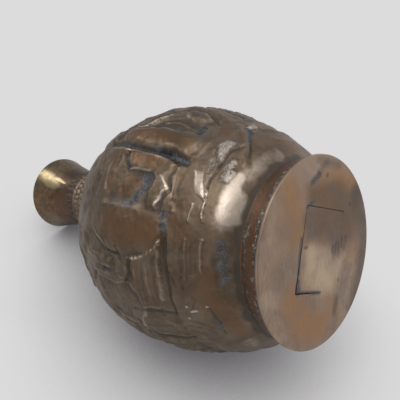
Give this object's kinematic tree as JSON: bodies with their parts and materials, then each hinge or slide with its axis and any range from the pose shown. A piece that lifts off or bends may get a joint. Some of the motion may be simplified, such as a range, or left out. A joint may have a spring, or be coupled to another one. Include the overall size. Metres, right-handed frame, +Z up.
{
  "type": "pitcher",
  "caption": "Small round-bellied brass vessel with a footed base, cast relief on the belly, narrow neck and flared open mouth.",
  "frame": {"origin": "centre of the foot's flat underside", "axes": "+Z up through the mouth, -Y the side that carries the relief seen in the picture, +X to its right"},
  "size_m": [0.1004, 0.1006, 0.162],
  "materials": {
    "foot_brass": "brushed flat, dulled to a greyish pink brown with orange patches",
    "patch_brass": "brushed flat, a little brighter than the plate around it",
    "ring_brass": "dark brown patina with green spots along the lower edge",
    "bowl_brass": "polished band over brown patina",
    "relief_brass": "cast relief, brown and olive patina, dark blue-green in the hollows, worn bright on the ridges",
    "collar_brass": "grained dark patina",
    "mouth_brass": "polished golden brass"
  },
  "bodies": {
    "root": {"foot_plate": "foot_brass", "foot_patch": "patch_brass", "foot_ring": "ring_brass", "lower_bowl": "bowl_brass", "upper_bowl": "relief_brass", "neck_collar": "collar_brass", "mouth_flare": "mouth_brass"}
  },
  "joints": []
}
